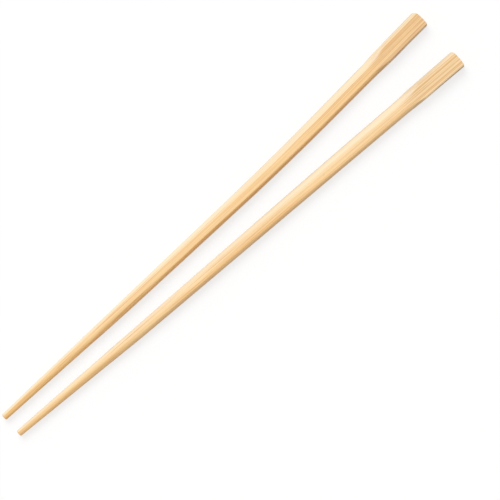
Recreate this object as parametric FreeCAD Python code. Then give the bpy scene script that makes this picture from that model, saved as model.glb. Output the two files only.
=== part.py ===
import FreeCAD, Part
import math
import os

# A pair of disposable bamboo chopsticks, split from one slat and laid side by side on their backs.
# Sizes are in millimetres and angles in degrees.
# Each stick is drawn from its tip at X = 0 to its head, with its back on Z = 0.
# Its outer edge faces +Y and the face where the pair was split faces -Y.

# Slat
STICK_LENGTH = 230.0
SLAT_THICKNESS = 5.6
HEAD_WIDTH = 7.6
HEAD_BEVEL = 1.45

# Head, which the shaping cutters leave at the slat's section
HEAD_LENGTH = 30.5
HEAD_FLARE = 0.35
UPPER_CORNER = 2.0
LOWER_CORNER = 1.25
RUN_OUT_RADIUS = 42.0

# Shaped body, just below the head
BODY_WIDTH = 6.8
SPLIT_RECESS = 0.2
OUTER_BEVEL = 2.3
INNER_BEVEL = 1.05
BEVEL_DEPTH = 1.5
BEVEL_CUT = 0.44

# Taper to the tip
KNEE_PLACE = 62.0
KNEE_WIDTH = 5.5
KNEE_SPREAD = 22.0
FACE_TAPER_LENGTH = 110.0
ROUND_UNTIL = 10.0
BEVELLED_FROM = 95.0
TIP_WIDTH = 2.8
TIP_ROUNDING = 0.4
TIP_CLEARANCE = 0.05

# Bow, measured from the head end to the middle of the bend
BOW_TO_HEAD = 80.0
BOW_LENGTH = 50.0
UPPER_BOW = 2.4
LOWER_BOW = 0.0

# Layout of the pair, between the middles of the sticks
TIP_SPACING = 8.75
HEAD_SPACING = 22.15
LOWER_AHEAD = 0.2

# Drawing aids: least width of a flat on the round part, distance between sections, reach of a cutter
LEAST_FLAT = 0.12
SECTION_SPACING = 13.0
RUN_OUT_SPACING = 1.5
CUTTER_MARGIN = 0.5
CUTTER_REACH = 4.0

MIDDLE_HEIGHT = SLAT_THICKNESS / 2
SPLIT_FACE = -HEAD_WIDTH / 2
OUTER_SIDE = HEAD_WIDTH / 2
BODY_START = STICK_LENGTH - HEAD_LENGTH
BODY_MIDDLE = SPLIT_FACE + SPLIT_RECESS + BODY_WIDTH / 2
ROUND_CUT = 1 - math.sqrt(0.5)


def mix(first, second, share):
    return first + (second - first) * share


def blend(value, start, end):
    """Smooth step from 0 at start to 1 at end."""
    share = min(max((value - start) / (end - start), 0.0), 1.0)
    return share * share * (3 - 2 * share)


def body_width(along):
    """A steep taper behind the tip that turns into the long slow taper of the body."""
    steep = mix(TIP_WIDTH, KNEE_WIDTH, along / KNEE_PLACE)
    slow = mix(KNEE_WIDTH, BODY_WIDTH, (along - KNEE_PLACE) / (BODY_START - KNEE_PLACE))
    return mix(steep, slow, blend(along, KNEE_PLACE - KNEE_SPREAD, KNEE_PLACE + KNEE_SPREAD))


def body_thickness(along):
    """The front and back run down to the tip in a curve that leaves the slat's faces smoothly."""
    to_go = max(1 - along / FACE_TAPER_LENGTH, 0.0)
    return mix(SLAT_THICKNESS, TIP_WIDTH, to_go * to_go)


class Corner:
    """One of the four bevels of a section, from the slat's face to the stick's side."""

    def __init__(self, side, side_at, face, face_at, across, deep, cut):
        self.on_face = FreeCAD.Vector(0, side_at - side * across, face_at)
        middle = FreeCAD.Vector(0, side_at - side * across * cut, face_at - face * deep * cut)
        self.on_side = FreeCAD.Vector(0, side_at, face_at - face * deep)
        self.bevel = Part.Arc(self.on_face, middle, self.on_side).toShape()
        direction = self.bevel.tangentAt(self.bevel.FirstParameter)
        self.past_face = self.on_face - direction * (CUTTER_MARGIN / abs(direction.z))


def section_corners(along, run_out):
    """Bevels at one place along the stick, moved sideways by what the cutter has lifted off there."""
    width = body_width(along)
    thickness = body_thickness(along)
    bevelled = blend(along, ROUND_UNTIL, BEVELLED_FROM)
    round_across = (width - LEAST_FLAT) / 2
    round_deep = (thickness - LEAST_FLAT) / 2
    deep = mix(round_deep, BEVEL_DEPTH, bevelled)
    cut = mix(ROUND_CUT, BEVEL_CUT, bevelled)
    corners = []
    for side, face in ((1, 1), (1, -1), (-1, -1), (-1, 1)):
        across = mix(round_across, OUTER_BEVEL if side > 0 else INNER_BEVEL, bevelled)
        side_at = BODY_MIDDLE + side * (width / 2 + run_out)
        face_at = MIDDLE_HEIGHT + face * thickness / 2
        corners.append(Corner(side, side_at, face, face_at, across, deep, cut))
    return corners


def body_section(along):
    """Closed outline of the shaped body, in the plane X = 0."""
    outer_front, outer_back, inner_back, inner_front = section_corners(along, 0.0)
    edges = [
        outer_front.bevel,
        Part.makeLine(outer_front.on_side, outer_back.on_side),
        outer_back.bevel,
        Part.makeLine(outer_back.on_face, inner_back.on_face),
        inner_back.bevel,
        Part.makeLine(inner_back.on_side, inner_front.on_side),
        inner_front.bevel,
        Part.makeLine(inner_front.on_face, outer_front.on_face),
    ]
    return Part.Wire(Part.__sortEdges__(edges))


def run_out_section(along):
    """Outline that the cutters leave while they swing out, with the bevels run on past the slat's faces."""
    travel = along - BODY_START
    lifted = RUN_OUT_RADIUS - math.sqrt(RUN_OUT_RADIUS ** 2 - travel ** 2)
    outer_front, outer_back, inner_back, inner_front = section_corners(BODY_START, lifted)
    edges = []
    for corner in (outer_front, outer_back, inner_back, inner_front):
        edges.append(Part.makeLine(corner.past_face, corner.on_face))
        edges.append(corner.bevel)
    edges.append(Part.makeLine(outer_front.on_side, outer_back.on_side))
    edges.append(Part.makeLine(outer_back.past_face, inner_back.past_face))
    edges.append(Part.makeLine(inner_back.on_side, inner_front.on_side))
    edges.append(Part.makeLine(inner_front.past_face, outer_front.past_face))
    wire = Part.Wire(Part.__sortEdges__(edges))
    wire.translate(FreeCAD.Vector(along, 0, 0))
    return wire


def bow_frame(along, bow):
    """Place and heading of the stick's middle: a straight run, one arc of the bow, a straight run."""
    bow_start = STICK_LENGTH - BOW_TO_HEAD - BOW_LENGTH / 2
    turned = min(max(along - bow_start, 0.0), BOW_LENGTH)
    heading = math.radians(bow) * turned / BOW_LENGTH
    half = heading / 2
    chord = turned * math.sin(half) / half if half else turned
    beyond = max(along - bow_start - BOW_LENGTH, 0.0)
    x = min(along, bow_start) + chord * math.cos(half) + beyond * math.cos(heading)
    y = chord * math.sin(half) + beyond * math.sin(heading)
    return x, y, math.degrees(heading)


def bowed(shape, along, bow):
    """A copy of a shape drawn at X = 0, moved to its place on the bowed middle line."""
    x, y, heading = bow_frame(along, bow)
    placed = shape.copy()
    placed.rotate(FreeCAD.Vector(0, 0, 0), FreeCAD.Vector(0, 0, 1), heading)
    placed.translate(FreeCAD.Vector(x, y, 0))
    return placed


def rounded_tip():
    """Turned envelope of the stick: it rounds the rim of the tip and stays clear of the rest."""
    shoulder = TIP_WIDTH / 2 + TIP_CLEARANCE
    reach = STICK_LENGTH + CUTTER_REACH
    centre = FreeCAD.Vector(0, BODY_MIDDLE, MIDDLE_HEIGHT)
    flat_end = FreeCAD.Vector(0, shoulder - TIP_ROUNDING, 0)
    middle = FreeCAD.Vector(TIP_ROUNDING * ROUND_CUT, shoulder - TIP_ROUNDING * ROUND_CUT, 0)
    rim_end = FreeCAD.Vector(TIP_ROUNDING, shoulder, 0)
    wide_end = FreeCAD.Vector(reach, shoulder + reach, 0)
    far_middle = FreeCAD.Vector(reach, 0, 0)
    edges = [
        Part.makeLine(FreeCAD.Vector(0, 0, 0), flat_end),
        Part.Arc(flat_end, middle, rim_end).toShape(),
        Part.makeLine(rim_end, wide_end),
        Part.makeLine(wide_end, far_middle),
        Part.makeLine(far_middle, FreeCAD.Vector(0, 0, 0)),
    ]
    envelope = Part.Face(Part.Wire(edges)).revolve(FreeCAD.Vector(0, 0, 0), FreeCAD.Vector(1, 0, 0), 360)
    envelope.translate(centre)
    return envelope


def shaped_body(bow):
    """Tapered body from the tip to the start of the head."""
    count = math.ceil(BODY_START / SECTION_SPACING)
    places = [BODY_START * step / count for step in range(count + 1)]
    body = Part.makeLoft([bowed(body_section(place), place, bow) for place in places], True)
    return body.common(rounded_tip())


def slat_end():
    """The slat around the head: square edges where the pair was split, bevelled edges outside."""
    corners = [
        FreeCAD.Vector(BODY_START, SPLIT_FACE, 0),
        FreeCAD.Vector(STICK_LENGTH, SPLIT_FACE, 0),
        FreeCAD.Vector(STICK_LENGTH, OUTER_SIDE, 0),
        FreeCAD.Vector(BODY_START, OUTER_SIDE - HEAD_FLARE, 0),
    ]
    plan = Part.Face(Part.makePolygon(corners + corners[:1]))
    slat = plan.extrude(FreeCAD.Vector(0, 0, SLAT_THICKNESS))
    outer_edges = []
    for edge in slat.Edges:
        middle = edge.CenterOfMass
        if middle.y > OUTER_SIDE / 2 and abs(middle.z - MIDDLE_HEIGHT) > MIDDLE_HEIGHT / 2:
            outer_edges.append(edge)
    return slat.makeChamfer(HEAD_BEVEL, outer_edges)


def cutter_waste():
    """What the cutters take off the slat while they swing out of it."""
    run_out_length = math.sqrt(2 * RUN_OUT_RADIUS * (OUTER_BEVEL + SPLIT_RECESS))
    count = math.ceil(run_out_length / RUN_OUT_SPACING)
    places = [BODY_START + run_out_length * step / count for step in range(count + 1)]
    left_over = Part.makeLoft([run_out_section(place) for place in places], True)
    corner = FreeCAD.Vector(BODY_START, SPLIT_FACE - CUTTER_REACH, -CUTTER_MARGIN / 2)
    size = (run_out_length, HEAD_WIDTH + 2 * CUTTER_REACH, SLAT_THICKNESS + CUTTER_MARGIN)
    return Part.makeBox(*size, corner).cut(left_over)


def head_corner_waste(corner):
    """The sliver outside the rounded corner where the outer edge meets the head end."""
    rounding_start = STICK_LENGTH - corner
    rounding_end = OUTER_SIDE - corner
    past_end = STICK_LENGTH + CUTTER_MARGIN
    past_side = OUTER_SIDE + CUTTER_MARGIN
    bulge = corner * ROUND_CUT
    start = FreeCAD.Vector(rounding_start, OUTER_SIDE, 0)
    middle = FreeCAD.Vector(STICK_LENGTH - bulge, OUTER_SIDE - bulge, 0)
    finish = FreeCAD.Vector(STICK_LENGTH, rounding_end, 0)
    below_corner = FreeCAD.Vector(past_end, rounding_end, 0)
    far_corner = FreeCAD.Vector(past_end, past_side, 0)
    beside_corner = FreeCAD.Vector(rounding_start, past_side, 0)
    edges = [
        Part.Arc(start, middle, finish).toShape(),
        Part.makeLine(finish, below_corner),
        Part.makeLine(below_corner, far_corner),
        Part.makeLine(far_corner, beside_corner),
        Part.makeLine(beside_corner, start),
    ]
    outline = Part.Face(Part.Wire(edges))
    outline.translate(FreeCAD.Vector(0, 0, -CUTTER_MARGIN))
    return outline.extrude(FreeCAD.Vector(0, 0, SLAT_THICKNESS + 2 * CUTTER_MARGIN))


def square_head(bow, corner):
    """Head at the slat's section, with the cutters' run-outs, a slight flare and a square-cut end."""
    head = slat_end().cut(cutter_waste()).cut(head_corner_waste(corner))
    head.translate(FreeCAD.Vector(-BODY_START, 0, 0))
    return bowed(head, BODY_START, bow)


def chopstick(bow, corner):
    """One stick, turned so that a line from the middle of its tip to the middle of its head is the X axis."""
    stick = shaped_body(bow).fuse(square_head(bow, corner)).removeSplitter()
    end_x, end_y, _ = bow_frame(STICK_LENGTH, bow)
    stick.rotate(FreeCAD.Vector(0, 0, 0), FreeCAD.Vector(0, 0, 1), -math.degrees(math.atan2(end_y, end_x)))
    return stick.Solids[0]


def laid_out(stick, side, ahead):
    """A stick moved to its side of the pair and turned so that the heads lie further apart than the tips."""
    lean = math.degrees(math.asin((HEAD_SPACING - TIP_SPACING) / 2 / STICK_LENGTH))
    stick.rotate(FreeCAD.Vector(0, 0, 0), FreeCAD.Vector(0, 0, 1), side * lean)
    stick.translate(FreeCAD.Vector(ahead, side * TIP_SPACING / 2, 0))
    return stick


os.makedirs("parts", exist_ok=True)
sticks = {
    "upper_chopstick": laid_out(chopstick(UPPER_BOW, UPPER_CORNER), 1, 0.0),
    "lower_chopstick": laid_out(chopstick(LOWER_BOW, LOWER_CORNER), -1, LOWER_AHEAD),
}

# The origin is on the surface that the sticks lie on, under the middle of the pair.
middle_of_pair = Part.makeCompound(list(sticks.values())).optimalBoundingBox().Center
for name, stick in sticks.items():
    stick.translate(FreeCAD.Vector(-middle_of_pair.x, -middle_of_pair.y, 0))
    stick.exportStep(f"parts/{name}.step")
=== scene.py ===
"""A pair of disposable bamboo chopsticks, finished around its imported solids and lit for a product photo."""

import math

import bmesh
import bpy
import numpy as np
from mathutils import Matrix, Vector, noise


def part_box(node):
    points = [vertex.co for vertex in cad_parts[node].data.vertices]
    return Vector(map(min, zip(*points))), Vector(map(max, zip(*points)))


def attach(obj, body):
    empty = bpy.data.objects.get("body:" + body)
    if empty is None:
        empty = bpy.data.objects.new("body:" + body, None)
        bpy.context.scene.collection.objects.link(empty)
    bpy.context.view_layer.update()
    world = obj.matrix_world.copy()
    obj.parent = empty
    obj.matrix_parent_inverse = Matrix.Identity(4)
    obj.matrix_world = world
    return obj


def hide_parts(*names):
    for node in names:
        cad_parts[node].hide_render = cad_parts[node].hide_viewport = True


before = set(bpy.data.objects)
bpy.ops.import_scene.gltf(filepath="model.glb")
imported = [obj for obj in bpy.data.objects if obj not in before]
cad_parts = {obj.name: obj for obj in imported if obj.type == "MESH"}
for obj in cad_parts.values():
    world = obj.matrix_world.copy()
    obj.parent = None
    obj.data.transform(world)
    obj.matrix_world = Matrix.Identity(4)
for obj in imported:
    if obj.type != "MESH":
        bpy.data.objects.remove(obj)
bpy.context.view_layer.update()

# Sizes of a stick are in millimetres, as its maker gives them. The scene itself is in metres.
MM = 0.001

# The slat, and the square head with its flare, its outer corner in plan and the run-out into the body
STICK_LENGTH = 230.0
SLAT_THICKNESS = 5.6
HEAD_WIDTH = 7.6
HEAD_BEVEL = 1.45
HEAD_LENGTH = 30.5
HEAD_FLARE = 0.35
UPPER_CORNER = 2.0
LOWER_CORNER = 1.25
RUN_OUT_RADIUS = 42.0
RUN_OUT_LENGTH = 14.5

# The body: its width, how far it lies behind the split face, and its bevels
BODY_WIDTH = 6.8
SPLIT_RECESS = 0.2
OUTER_BEVEL = 2.3
INNER_BEVEL = 1.05
BEVEL_DEPTH = 1.5
BEVEL_CUT = 0.44

# The taper: a knee in the width, the thinning faces, and a tip that is round up to the first bevels
KNEE_PLACE = 62.0
KNEE_WIDTH = 5.5
KNEE_SPREAD = 22.0
FACE_TAPER_LENGTH = 110.0
ROUND_UNTIL = 10.0
BEVELLED_FROM = 95.0
TIP_WIDTH = 2.8
TIP_ROUNDING = 0.4
LEAST_FLAT = 0.12

# The bow of each stick, in degrees, and how far apart the pair lies at its tips and heads
BOW_TO_HEAD = 80.0
BOW_LENGTH = 50.0
UPPER_BOW = 2.4
LOWER_BOW = 0.0
TIP_SPACING = 8.75
HEAD_SPACING = 22.15

# Softness of the cut edges, and the slight crown of the head's end
EDGE_SOFTNESS = 0.2
END_SOFTNESS = 0.16
END_CROWN = 0.3
CROWN_REACH = 3.0

# How deep the knife's waves and the torn ridges of the split face go, and their size along, across and up
WAVINESS = 0.035
WAVE_SIZE = (9.0, 2.5, 2.5)
SPLIT_ROUGHNESS = 0.12
RIDGE_SIZE = (14.0, 3.0, 0.35)

# Spacing of the mesh's rows along a stick, its points around it, the rings across its two ends,
# and the halvings of the search for its surface
BODY_ROW = 1.0
HEAD_ROW = 0.3
CORNER_ROW = 0.12
POINTS_AROUND = 192
ROUNDING_ROWS = 5
CAP_RINGS = 7
HALVINGS = 26
MERGE_DISTANCE = 1e-5

MIDDLE_HEIGHT = SLAT_THICKNESS / 2
SPLIT_FACE = -HEAD_WIDTH / 2
OUTER_SIDE = HEAD_WIDTH / 2
BODY_START = STICK_LENGTH - HEAD_LENGTH
BODY_MIDDLE = SPLIT_FACE + SPLIT_RECESS + BODY_WIDTH / 2
ROUND_CUT = 1 - math.sqrt(0.5)


def mix(first, second, share):
    return first + (second - first) * share


def blend(value, start, end):
    """Smooth step from 0 at start to 1 at end."""
    share = np.clip((value - start) / (end - start), 0.0, 1.0)
    return share * share * (3 - 2 * share)


def smooth_max(first, second, softness):
    """The larger of two distances, with the edge where they cross rounded off."""
    near = np.maximum(softness - np.abs(first - second), 0.0) / softness
    return np.maximum(first, second) + near * near * softness / 4


def body_width(along):
    """A steep taper behind the tip that turns into the long slow taper of the body."""
    steep = mix(TIP_WIDTH, KNEE_WIDTH, along / KNEE_PLACE)
    slow = mix(KNEE_WIDTH, BODY_WIDTH, (along - KNEE_PLACE) / (BODY_START - KNEE_PLACE))
    width = mix(steep, slow, blend(along, KNEE_PLACE - KNEE_SPREAD, KNEE_PLACE + KNEE_SPREAD))
    return np.where(along < BODY_START, width, BODY_WIDTH)


def body_thickness(along):
    """The front and back run down to the tip in a curve that leaves the slat's faces smoothly."""
    to_go = np.maximum(1 - along / FACE_TAPER_LENGTH, 0.0)
    return mix(SLAT_THICKNESS, TIP_WIDTH, to_go * to_go)


def bevel_distance(past_side, past_face, across, deep, cut):
    """Distance outside the arc of a bevel, for points measured outwards from the corner that it cuts off."""
    span = across * across + deep * deep
    skew = across * across - deep * deep
    centre_side = (cut * cut * span + cut * skew - across * across) / (2 * across * (1 - 2 * cut))
    centre_face = (skew + 2 * centre_side * across) / (2 * deep)
    radius = np.hypot(centre_side + across, centre_face)
    return np.hypot(past_side - centre_side, past_face - centre_face) - radius


def outer_limit(along, corner):
    """The slat's outer side: flared along the head and rounded in plan at the head end."""
    flared = OUTER_SIDE - HEAD_FLARE * (STICK_LENGTH - along) / HEAD_LENGTH
    into_corner = np.clip(along - (STICK_LENGTH - corner), 0.0, corner)
    rounded = OUTER_SIDE - corner + np.sqrt(corner ** 2 - into_corner ** 2)
    return flared, rounded


def distance_outside(along, across, height, corner):
    """How far points lie outside the stick's surface at a place along it."""
    width = body_width(along)
    travel = np.clip(along - BODY_START, 0.0, RUN_OUT_LENGTH)
    lifted = RUN_OUT_RADIUS - np.sqrt(RUN_OUT_RADIUS ** 2 - travel ** 2)
    thickness = body_thickness(along)
    bevelled = blend(along, ROUND_UNTIL, BEVELLED_FROM)
    outer = across > BODY_MIDDLE
    deep = mix((thickness - LEAST_FLAT) / 2, BEVEL_DEPTH, bevelled)
    wide = mix((width - LEAST_FLAT) / 2, np.where(outer, OUTER_BEVEL, INNER_BEVEL), bevelled)
    past_side = np.abs(across - BODY_MIDDLE) - width / 2 - lifted
    past_face = np.abs(height - MIDDLE_HEIGHT) - thickness / 2
    past_bevel = bevel_distance(past_side, past_face, wide, deep, mix(ROUND_CUT, BEVEL_CUT, bevelled))

    flared, rounded = outer_limit(along, corner)
    from_side = across - flared
    from_face = np.abs(height - MIDDLE_HEIGHT) - MIDDLE_HEIGHT
    past_head_bevel = (from_side + from_face + HEAD_BEVEL) * math.sqrt(0.5)

    distance = smooth_max(past_side, past_face, EDGE_SOFTNESS)
    for other in (past_bevel, from_side, past_head_bevel, across - rounded, SPLIT_FACE - across):
        distance = smooth_max(distance, other, EDGE_SOFTNESS)
    return distance


def rows_along(corner):
    """Rows of the mesh, tip to head: place along, inset of a rounded rim, share of an end cap's radius."""
    rows = [(0.0, TIP_ROUNDING, ring / CAP_RINGS) for ring in range(CAP_RINGS)]
    for step in range(ROUNDING_ROWS + 1):
        turn = math.pi / 2 * step / ROUNDING_ROWS
        rows.append((TIP_ROUNDING * (1 - math.cos(turn)), TIP_ROUNDING * (1 - math.sin(turn)), 1.0))
    place = TIP_ROUNDING + BODY_ROW
    while place < STICK_LENGTH - END_SOFTNESS:
        rows.append((place, 0.0, 1.0))
        if place < BODY_START - BODY_ROW:
            place += BODY_ROW
        elif place < STICK_LENGTH - corner - HEAD_ROW:
            place += HEAD_ROW
        else:
            place += CORNER_ROW
    for step in range(ROUNDING_ROWS + 1):
        turn = math.pi / 2 * step / ROUNDING_ROWS
        inset = END_SOFTNESS * (1 - math.cos(turn))
        rows.append((STICK_LENGTH - END_SOFTNESS * (1 - math.sin(turn)), inset, 1.0))
    rows += [(STICK_LENGTH, END_SOFTNESS, ring / CAP_RINGS) for ring in reversed(range(CAP_RINGS))]
    return np.array(rows)


def surface_table(corner):
    """Place along, across and up of each point of the stick's surface, by row and by turn around it."""
    rows = rows_along(corner)
    turns = np.linspace(0, 2 * math.pi, POINTS_AROUND + 1)
    along = rows[:, 0:1] + 0 * turns
    cosine, sine = np.cos(turns), np.sin(turns)
    inner = np.zeros_like(along)
    outer = np.full_like(along, HEAD_WIDTH)
    for _ in range(HALVINGS):
        reach = (inner + outer) / 2
        across = BODY_MIDDLE + reach * cosine
        height = MIDDLE_HEIGHT + reach * sine
        outside = distance_outside(along, across, height, corner) > 0
        outer = np.where(outside, reach, outer)
        inner = np.where(outside, inner, reach)
    reach = (outer - rows[:, 1:2]) * rows[:, 2:3]
    return np.stack([along, BODY_MIDDLE + reach * cosine, MIDDLE_HEIGHT + reach * sine], axis=2)


def unevenness(point, seed):
    """How far the knife cut into the surface at a point: slow waves, and torn ridges on the split face."""
    along, across, height = point

    def share(size):
        place = Vector((along / size[0] + seed, across / size[1], height / size[2]))
        return 0.5 + 0.5 * noise.noise(place)

    depth = WAVINESS * share(WAVE_SIZE)
    if across < SPLIT_FACE + EDGE_SOFTNESS and along > BODY_START:
        depth += SPLIT_ROUGHNESS * share(RIDGE_SIZE)
    return depth


def bow_frame(along, bow):
    """Place and heading of the stick's middle: a straight run, one arc of the bow, a straight run."""
    bow_start = STICK_LENGTH - BOW_TO_HEAD - BOW_LENGTH / 2
    turned = min(max(along - bow_start, 0.0), BOW_LENGTH)
    heading = math.radians(bow) * turned / BOW_LENGTH
    half = heading / 2
    chord = turned * math.sin(half) / half if half else turned
    beyond = max(along - bow_start - BOW_LENGTH, 0.0)
    x = min(along, bow_start) + chord * math.cos(half) + beyond * math.cos(heading)
    y = chord * math.sin(half) + beyond * math.sin(heading)
    return x, y, heading


def chopstick(name, node, bow, corner, side, seed):
    """One stick as a fine mesh in the place of its solid. It keeps its straightened coordinates as grain."""
    table = surface_table(corner)
    last_row = len(table) - 1
    shape = bmesh.new()
    bmesh.ops.create_grid(shape, x_segments=last_row, y_segments=POINTS_AROUND, size=1.0)
    grain = shape.verts.layers.float_vector.new("grain")
    side_share = shape.verts.layers.float.new("side")
    end_x, end_y, _ = bow_frame(STICK_LENGTH, bow)
    lean = side * math.asin((HEAD_SPACING - TIP_SPACING) / 2 / STICK_LENGTH)
    turn_in_plan = Matrix.Rotation(lean - math.atan2(end_y, end_x), 4, "Z")
    middle = Vector((BODY_MIDDLE, MIDDLE_HEIGHT))
    for vert in shape.verts:
        row = round((vert.co.x + 1) / 2 * last_row)
        turn = round((vert.co.y + 1) / 2 * POINTS_AROUND) % POINTS_AROUND
        along, across, height = table[row][turn]
        crown = END_CROWN * ((across - BODY_MIDDLE) / OUTER_SIDE) ** 2
        along -= crown * blend(along, STICK_LENGTH - CROWN_REACH, STICK_LENGTH)
        outwards = Vector((across, height)) - middle
        depth = unevenness((along, across, height), seed)
        if outwards.length > depth:
            outwards -= outwards.normalized() * depth
        across, height = middle + outwards
        x, y, heading = bow_frame(along, bow)
        x -= across * math.sin(heading)
        y += across * math.cos(heading)
        vert.co = turn_in_plan @ Vector((x, y, height))
        vert[grain] = (along, across, height)
        vert[side_share] = (across - BODY_MIDDLE) / (float(body_width(along)) / 2)
    bmesh.ops.remove_doubles(shape, verts=shape.verts, dist=MERGE_DISTANCE)
    bmesh.ops.recalc_face_normals(shape, faces=shape.faces)
    for face in shape.faces:
        face.smooth = True
    bmesh.ops.scale(shape, vec=(MM, MM, MM), verts=shape.verts)

    low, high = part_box(node)
    x_places = [vert.co.x for vert in shape.verts]
    y_places = [vert.co.y for vert in shape.verts]
    shift_x = (low.x + high.x - min(x_places) - max(x_places)) / 2
    shift_y = (low.y + high.y - min(y_places) - max(y_places)) / 2
    bmesh.ops.translate(shape, vec=(shift_x, shift_y, 0), verts=shape.verts)

    mesh = bpy.data.meshes.new(name)
    shape.to_mesh(mesh)
    shape.free()
    stick = bpy.data.objects.new(name, mesh)
    bpy.context.scene.collection.objects.link(stick)
    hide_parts(node)
    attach(stick, "root")
    return stick


def colour(red, green, blue):
    """A colour as it looks on screen, 0 to 255, as the linear values that a shader takes."""
    linear = []
    for level in (red, green, blue):
        share = level / 255
        linear.append(share / 12.92 if share <= 0.04045 else ((share + 0.055) / 1.055) ** 2.4)
    return (*linear, 1.0)


class Value:
    """A shader socket that takes part in Python arithmetic: each operator adds one Math node."""

    def __init__(self, shader, socket):
        self.shader = shader
        self.socket = socket

    def __add__(self, other):
        return self.shader.math("ADD", self, other)

    def __sub__(self, other):
        return self.shader.math("SUBTRACT", self, other)

    def __rsub__(self, other):
        return self.shader.math("SUBTRACT", other, self)

    def __mul__(self, other):
        return self.shader.math("MULTIPLY", self, other)

    __radd__ = __add__
    __rmul__ = __mul__


class Shader:
    """One material, and the few ways in which its nodes are made."""

    def __init__(self, name):
        self.material = bpy.data.materials.new(name)
        self.material.use_nodes = True
        self.tree = self.material.node_tree
        self.tree.nodes.clear()

    def node(self, kind, settings, inputs, output=0):
        """One node: its settings first, then the value or the link of each of its sockets."""
        made = self.tree.nodes.new(kind)
        for key, setting in settings.items():
            setattr(made, key, setting)
        for key, value in inputs.items():
            if isinstance(value, Value):
                self.tree.links.new(value.socket, made.inputs[key])
            else:
                made.inputs[key].default_value = value
        return Value(self, made.outputs[output])

    def finish(self, surface):
        """The surface as the material's output."""
        output = self.tree.nodes.new("ShaderNodeOutputMaterial")
        self.tree.links.new(surface.socket, output.inputs["Surface"])

    def math(self, operation, first, second):
        return self.node("ShaderNodeMath", {"operation": operation}, {0: first, 1: second})

    def vector(self, operation, first, second):
        return self.node("ShaderNodeVectorMath", {"operation": operation}, {0: first, 1: second})

    def ramp(self, value, start, end):
        """0 at start, 1 at end, and smooth in between. Start may be the larger."""
        inputs = {"Value": value, "From Min": start, "From Max": end}
        return self.node("ShaderNodeMapRange", {"interpolation_type": "SMOOTHSTEP"}, inputs)

    def mixed(self, share, first, second):
        """Colour from first at share 0 to second at share 1."""
        return self.node("ShaderNodeMix", {"data_type": "RGBA"}, {0: share, 6: first, 7: second}, 2)


# How a stick's colour changes over it, much of it painted light: the outer side, which faces the key light,
# is paler as a painted sheen, with a greyer rim as painted shade; the split side, which lies in shade, is
# warmer and darker as painted shade, with a darker painted shade on its lower rim; and the head is a little
# darker than the body
PAINTED_SHEEN = colour(247, 231, 203)
WHITE = (1.0, 1.0, 1.0, 1.0)
SHADE_SIDE_TINT = (1.0, 0.90, 0.74, 1.0)
DEEP_SHADE_TINT = (0.66, 0.57, 0.47, 1.0)
RIM_SHADE_TINT = (0.82, 0.82, 0.82, 1.0)
HEAD_TINT = (0.95, 0.93, 0.90, 1.0)

# Size of each part of the grain in millimetres: its length along the stick and its spacing across it
THICK_BUNDLES = (150.0, 0.50)
THIN_BUNDLES = (40.0, 0.28)
PATCHES = (26.0, 1.8)
STREAKS = (95.0, 1.1)
FIBRES = (7.0, 0.10)
MOTTLE = (9.0, 1.2)
TORN_RIDGES = (16.0, 0.22)
TORN_PATCHES = (12.0, 1.6)
LAYER_LENGTH = 150.0

# How the bundles wander across the stick, and how far from the tip its darker tint reaches
DRIFT = (60.0, 7.0)
DRIFT_REACH = 0.8
TIP_TINT_FULL = 5.0
TIP_TINT_END = 70.0


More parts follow.
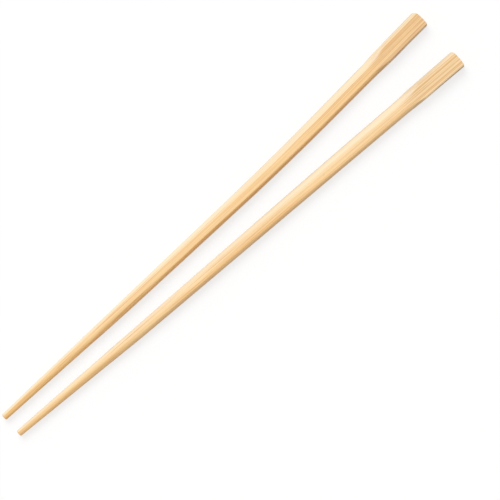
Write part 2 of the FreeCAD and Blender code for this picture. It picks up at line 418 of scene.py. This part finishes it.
def bamboo(name, shift, layer_spacing, flesh, bundle, streak, tip_tint, split_shade_colour, split_from):
    """Bare cut bamboo: pale flesh, fibre bundles that run the length of the stick, and soft darker streaks.

    The bundles are rods that run through the material, so a long cut shows lines and an end shows dots.
    """
    shader = Shader(name)
    grain = shader.node("ShaderNodeAttribute", {"attribute_name": "grain"}, {}, "Vector")
    along = shader.node("ShaderNodeSeparateXYZ", {}, {0: grain}, "X")
    across = shader.node("ShaderNodeSeparateXYZ", {}, {0: grain}, "Y")
    side = shader.node("ShaderNodeAttribute", {"attribute_name": "side"}, {}, "Fac")

    def stretched(place, size):
        length, spacing = size
        return shader.vector("DIVIDE", place, (length, spacing, spacing))

    def cloud(place, size, detail, output="Fac"):
        inputs = {"Vector": stretched(place, size), "Scale": 1.0, "Detail": detail}
        return shader.node("ShaderNodeTexNoise", {}, inputs, output)

    def rods(place, size):
        inputs = {"Vector": stretched(place, size), "Scale": 1.0, "Randomness": 0.8}
        return shader.node("ShaderNodeTexVoronoi", {"feature": "F1"}, inputs, "Distance")

    placed = shader.vector("ADD", grain, shift)
    drift = shader.vector("SUBTRACT", cloud(placed, DRIFT, 1.0, "Color"), (0.5, 0.5, 0.5))
    wandered = shader.vector("MULTIPLY", drift, (0.0, DRIFT_REACH, DRIFT_REACH))
    wandering = shader.vector("ADD", placed, wandered)

    # What the flesh is made of, each as a share from 0 to 1
    thick_bundles = shader.ramp(rods(wandering, THICK_BUNDLES), 0.38, 0.20)
    thin_bundles = shader.ramp(rods(wandering, THIN_BUNDLES), 0.42, 0.18)
    patches = shader.ramp(cloud(placed, PATCHES, 2.0), 0.34, 0.62)
    streaks = shader.ramp(cloud(wandering, STREAKS, 2.0), 0.42, 0.66)
    from_layer = cloud(wandering, (LAYER_LENGTH, layer_spacing), 0.0) - 0.5
    layers = shader.ramp(from_layer * from_layer, 0.013, 0.0)
    fibres = cloud(wandering, FIBRES, 2.0)
    mottle = cloud(placed, MOTTLE, 3.0)

    # Parts of the stick: its head and tip, the run-out between head and body, and the torn split face
    at_head = shader.ramp(along, BODY_START - 2.0, BODY_START + 9.0)
    at_tip = shader.ramp(along, TIP_TINT_END, TIP_TINT_FULL)
    run_out_start = shader.ramp(along, BODY_START - 1.0, BODY_START + 5.0)
    run_out_end = shader.ramp(along, BODY_START + 11.0, BODY_START + 8.0)
    # Painted shade on the split face, which faces away from the light: a darker colour from split_from on,
    # patchy like its torn ridges
    on_split = shader.ramp(across, SPLIT_FACE + 0.16, SPLIT_FACE + 0.06)
    torn = cloud(wandering, TORN_RIDGES, 3.0)
    torn_patches = shader.ramp(cloud(placed, TORN_PATCHES, 2.0), 0.30, 0.62)
    shaded_split_length = shader.ramp(along, split_from - 3.0, split_from + 4.0)
    split_shade = on_split * shaded_split_length * (0.35 + torn_patches * 0.65)

    # Sides of the stick, painted with light and shade: the painted sheen on the outer side ends in a slope
    # where the head begins, and the painted shades along the rims are narrow
    band_end = shader.ramp(along, BODY_START + 5.0, BODY_START + 13.0)
    # Painted sheen: the outer side, which faces the key light, is made paler
    sheen_side = shader.ramp(side - band_end * 0.42, 0.12, 0.55)
    # Painted shade along the outer rim, where the surface turns away from the light
    rim_shade = shader.ramp(side - at_head * 0.18, 0.80, 0.98)
    # Painted shade on the split side, which faces away from the key light: warmer and darker
    shaded_side = shader.ramp(side, 0.25, -0.95) * (1.0 - at_head)
    # Painted deeper shade on the split side's lower rim along the body, and in the hollow of the run-out
    deep_shade_share = 0.62 * (1.0 - at_head) + run_out_start * run_out_end * 0.38
    deep_shade = shader.ramp(side, -0.80, -1.0) * deep_shade_share

    lines = thick_bundles * (0.28 + patches * 0.28 + at_head * 0.08) + thin_bundles * (0.08 + patches * 0.18)
    ground = shader.mixed(at_tip * 0.8, flesh, tip_tint)
    ground = shader.mixed(streaks * 0.8, ground, streak)
    ground = shader.mixed(layers * (0.14 + at_head * 0.32), ground, bundle)
    ground = shader.mixed(lines, ground, bundle)
    # Painted sheen: paler colour on the outer side
    ground = shader.mixed(sheen_side * 0.68, ground, PAINTED_SHEEN)
    ground = shader.mixed(split_shade * shader.ramp(torn, 0.22, 0.62), ground, split_shade_colour)
    tints = ((shaded_side, SHADE_SIDE_TINT), (deep_shade, DEEP_SHADE_TINT), (rim_shade, RIM_SHADE_TINT), (at_head, HEAD_TINT))
    for share, tint in tints:
        ground = shader.vector("MULTIPLY", ground, shader.mixed(share, WHITE, tint))
    shading = 0.91 + mottle * 0.10 + fibres * 0.12
    shade_colour = shader.node("ShaderNodeCombineXYZ", {}, {0: shading, 1: shading, 2: shading})
    base = shader.vector("MULTIPLY", ground, shade_colour)

    relief = fibres * 0.5 - thick_bundles * 0.35 - thin_bundles * 0.15 + on_split * torn * 2.0
    bump = shader.node("ShaderNodeBump", {}, {"Strength": 0.5, "Distance": 0.06 * MM, "Height": relief})
    inputs = {"Base Color": base, "Roughness": 0.48 - fibres * 0.14, "Normal": bump}
    surface = shader.node("ShaderNodeBsdfPrincipled", {}, inputs)
    shader.finish(surface)
    return shader.material


# The two sticks: the bowed, warmer one above and the straight, paler one below
warm_bamboo = bamboo(
    "warm_bamboo",
    shift=(31.0, 4.7, 2.3),
    layer_spacing=0.62,
    flesh=colour(250, 217, 164),
    bundle=colour(206, 146, 82),
    streak=colour(240, 192, 128),
    tip_tint=colour(246, 204, 138),
    # The split face's colour is a painted shade, as it faces away from the light
    split_shade_colour=colour(156, 112, 72),
    split_from=209.0,
)
pale_bamboo = bamboo(
    "pale_bamboo",
    shift=(417.0, 63.1, 28.6),
    layer_spacing=0.85,
    flesh=colour(250, 218, 168),
    bundle=colour(208, 152, 90),
    streak=colour(242, 200, 140),
    tip_tint=colour(247, 207, 146),
    # The split face's colour is a painted shade, as it faces away from the light
    split_shade_colour=colour(160, 118, 78),
    split_from=214.0,
)

upper = chopstick("upper_stick", "upper_chopstick", bow=UPPER_BOW, corner=UPPER_CORNER, side=1, seed=3.1)
upper.data.materials.append(warm_bamboo)
lower = chopstick("lower_stick", "lower_chopstick", bow=LOWER_BOW, corner=LOWER_CORNER, side=-1, seed=17.7)
lower.data.materials.append(pale_bamboo)

# Floor: plain white to the camera, a little darker as a source of bounced light
FLOOR_SIZE = 12.0
FLOOR_DROP = 0.02 * MM

floor_shape = bmesh.new()
bmesh.ops.create_grid(floor_shape, x_segments=1, y_segments=1, size=FLOOR_SIZE / 2)
bmesh.ops.translate(floor_shape, vec=(0, 0, -FLOOR_DROP), verts=floor_shape.verts)
floor_mesh = bpy.data.meshes.new("floor")
floor_shape.to_mesh(floor_mesh)
floor_shape.free()
floor = bpy.data.objects.new("floor", floor_mesh)
bpy.context.scene.collection.objects.link(floor)

# The camera and the reflections see a floor that partly glows, which keeps the shadow but lightens it
FLOOR_GLOW = 0.72
FLOOR_SHADE = (0.80, 0.80, 0.80, 1.0)

floor_paint = Shader("floor_paint")
seen = floor_paint.node("ShaderNodeLightPath", {}, {}, "Is Camera Ray")
mirrored = floor_paint.node("ShaderNodeLightPath", {}, {}, "Is Glossy Ray")
shown = floor_paint.math("MAXIMUM", seen, mirrored)
floor_colour = floor_paint.mixed(shown, FLOOR_SHADE, WHITE)
matt = floor_paint.node("ShaderNodeBsdfDiffuse", {}, {"Color": floor_colour})
glow = floor_paint.node("ShaderNodeEmission", {}, {"Strength": 1.0})
floor_paint.finish(floor_paint.node("ShaderNodeMixShader", {}, {0: shown * FLOOR_GLOW, 1: matt, 2: glow}))
floor_mesh.materials.append(floor_paint.material)

# Sky: an even white dome that lights at SKY_LEVEL and looks plain white
SKY_LEVEL = 0.53

world = bpy.data.worlds.new("studio")
bpy.context.scene.world = world
world.use_nodes = True
sky_nodes, sky_links = world.node_tree.nodes, world.node_tree.links
sky_nodes.clear()
rays = sky_nodes.new("ShaderNodeLightPath")
seen_or_mirrored = sky_nodes.new("ShaderNodeMath")
seen_or_mirrored.operation = "MAXIMUM"
sky_links.new(rays.outputs["Is Camera Ray"], seen_or_mirrored.inputs[0])
sky_links.new(rays.outputs["Is Transmission Ray"], seen_or_mirrored.inputs[1])
level = sky_nodes.new("ShaderNodeMapRange")
level.inputs["To Min"].default_value = SKY_LEVEL
level.inputs["To Max"].default_value = 1.0
sky_links.new(seen_or_mirrored.outputs[0], level.inputs["Value"])
sky = sky_nodes.new("ShaderNodeBackground")
sky.inputs["Color"].default_value = WHITE
sky_links.new(level.outputs[0], sky.inputs["Strength"])
sky_out = sky_nodes.new("ShaderNodeOutputWorld")
sky_links.new(sky.outputs[0], sky_out.inputs["Surface"])

# Key light: wide and soft, from the picture's upper left, which is the +Y side of the pair
KEY_STRENGTH = 1.78
KEY_SPREAD = 40.0
KEY_ELEVATION = 58.0
KEY_SWING = -18.0

key_data = bpy.data.lights.new("key", "SUN")
key_data.energy = KEY_STRENGTH
key_data.angle = math.radians(KEY_SPREAD)
key = bpy.data.objects.new("key", key_data)
key.rotation_euler = (math.radians(KEY_ELEVATION - 90), 0, math.radians(KEY_SWING))
bpy.context.scene.collection.objects.link(key)

# Camera: above the pair, leaning a little to the split faces' side, and rolled as in the photograph
PHOTO_SIZE = 500
PHOTO_SCALE = 0.3979 * MM
PAIR_MIDDLE_PIXEL = (225.5, 231.7)
PAIR_ANGLE = 42.08
CAMERA_LEAN = 5.0
CAMERA_DISTANCE = 1.3
SENSOR = 36.0

along_pair = Vector((1, 0, 0))
lean = math.radians(CAMERA_LEAN)
to_camera = Vector((0, -math.sin(lean), math.cos(lean)))
across_pair = Vector((0, math.cos(lean), math.sin(lean)))
roll = math.radians(PAIR_ANGLE)
picture_right = along_pair * math.cos(roll) - across_pair * math.sin(roll)
picture_up = along_pair * math.sin(roll) + across_pair * math.cos(roll)
right_of_pair = (PHOTO_SIZE / 2 - PAIR_MIDDLE_PIXEL[0]) * PHOTO_SCALE
below_pair = (PHOTO_SIZE / 2 - PAIR_MIDDLE_PIXEL[1]) * PHOTO_SCALE
aim = Vector((0, 0, MIDDLE_HEIGHT * MM)) + picture_right * right_of_pair - picture_up * below_pair

camera_data = bpy.data.cameras.new("camera")
camera_data.sensor_width = SENSOR
camera_data.lens = SENSOR * CAMERA_DISTANCE / (PHOTO_SIZE * PHOTO_SCALE)
camera = bpy.data.objects.new("camera", camera_data)
camera_axes = Matrix((picture_right, picture_up, to_camera)).transposed()
camera.matrix_world = Matrix.Translation(aim + to_camera * CAMERA_DISTANCE) @ camera_axes.to_4x4()
bpy.context.scene.collection.objects.link(camera)
bpy.context.scene.camera = camera
bpy.context.scene.view_settings.view_transform = "Standard"

bpy.context.view_layer.update()
